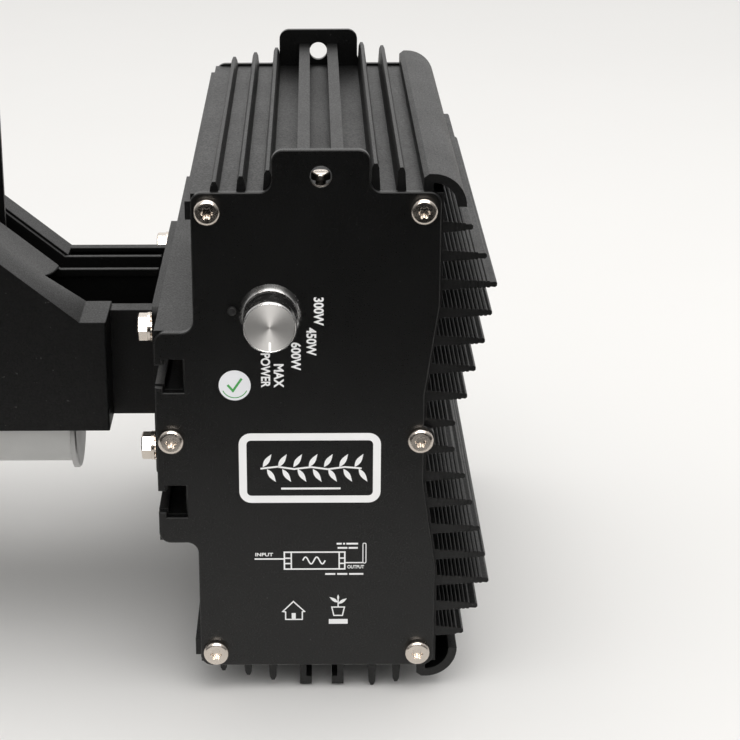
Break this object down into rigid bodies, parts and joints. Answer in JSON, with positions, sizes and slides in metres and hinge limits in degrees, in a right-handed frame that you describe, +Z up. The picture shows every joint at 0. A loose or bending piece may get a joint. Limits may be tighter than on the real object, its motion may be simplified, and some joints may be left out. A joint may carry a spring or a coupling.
{
  "type": "grow lamp",
  "caption": "Double-ended discharge grow lamp: finned black ballast with dimmer knob and hanging tabs, carrying a sheet-metal arm, hood, reflector and lamp.",
  "frame": {"origin": "centre of the front hanging hole, on the outer face of the front panel", "axes": "+X from the hood towards the ballast's cooling fins, +Y from the front panel to the rear panel, +Z up as the lamp hangs"},
  "size_m": [0.533, 0.252, 0.2221],
  "materials": {
    "coated_aluminium": "fine-textured black powder coat on extruded aluminium",
    "coated_panel": "fine-textured black powder coat on 3 mm aluminium plate",
    "coated_sheet": "satin black powder coat on folded aluminium sheet",
    "bright_steel": "nickel-plated, warm bright",
    "spun_aluminium": "radially brushed face, turned side",
    "dark_plastic": "moulded black plastic",
    "board_laminate": "green solder mask",
    "ferrite": "sintered ferrite",
    "copper_wire": "enamelled copper winding",
    "sleeve_plastic": "shrink sleeve",
    "brass": "plated brass",
    "rubber_black": "moulded rubber",
    "reflector_sheet": "hammered bright aluminium",
    "ceramic": "glazed steatite ceramic",
    "satin_metal": "satin aluminium",
    "quartz": "clear quartz",
    "alumina": "translucent sintered alumina",
    "lead_sleeve": "silicone rubber sleeve"
  },
  "bodies": {
    "ballast": {"arc_tube": "alumina", "arm_bolts": "bright_steel", "arm_channel": "coated_sheet", "arm_screws": "bright_steel", "board_capacitors": "sleeve_plastic", "board_chokes": "copper_wire", "board_screws": "bright_steel", "board_spacers": "brass", "cable_duct": "coated_sheet", "circuit_board": "board_laminate", "control_ports": "dark_plastic", "dimmer_nut": "bright_steel", "dimmer_switch": "dark_plastic", "duct_feet": "coated_sheet", "end_bracket": "coated_sheet", "far_lead": "lead_sleeve", "flat_washers": "bright_steel", "front_panel": "coated_panel", "front_screws": "bright_steel", "fuse_holder": "dark_plastic", "guide_nub": "dark_plastic", "holder_contacts": "brass", "holder_disc": "satin_metal", "holder_far": "ceramic", "holder_near": "ceramic", "holder_strap": "coated_sheet", "hood_hanger": "coated_sheet", "hood_spine": "coated_sheet", "housing_lower": "coated_aluminium", "housing_upper": "coated_aluminium", "inlet_pins": "brass", "inlet_screws": "bright_steel", "insulation_sheet": "dark_plastic", "lamp_caps": "ceramic", "lamp_glass": "quartz", "lead_grommets": "rubber_black", "lock_washers": "bright_steel", "mains_inlet": "dark_plastic", "mounting_plate": "coated_sheet", "near_lead": "lead_sleeve", "neck_cover": "coated_sheet", "power_transistors": "dark_plastic", "rear_panel": "coated_panel", "rear_screws": "bright_steel", "reflector": "reflector_sheet", "reflector_end_far": "reflector_sheet", "reflector_end_near": "reflector_sheet", "reflector_nuts": "bright_steel", "slot_nuts": "bright_steel", "slot_screw": "bright_steel", "spine_screws": "bright_steel", "transformer_core": "ferrite", "transformer_winding": "copper_wire"},
    "dimmer": {"dimmer_knob": "spun_aluminium", "dimmer_shaft": "bright_steel"}
  },
  "joints": [
    {"name": "dimmer_turn", "type": "hinge", "parent": "ballast", "child": "dimmer", "pos_m": [-0.019, -0.008, -0.0528], "axis": [0, -1, 0], "range_deg": [0, 90]}
  ]
}
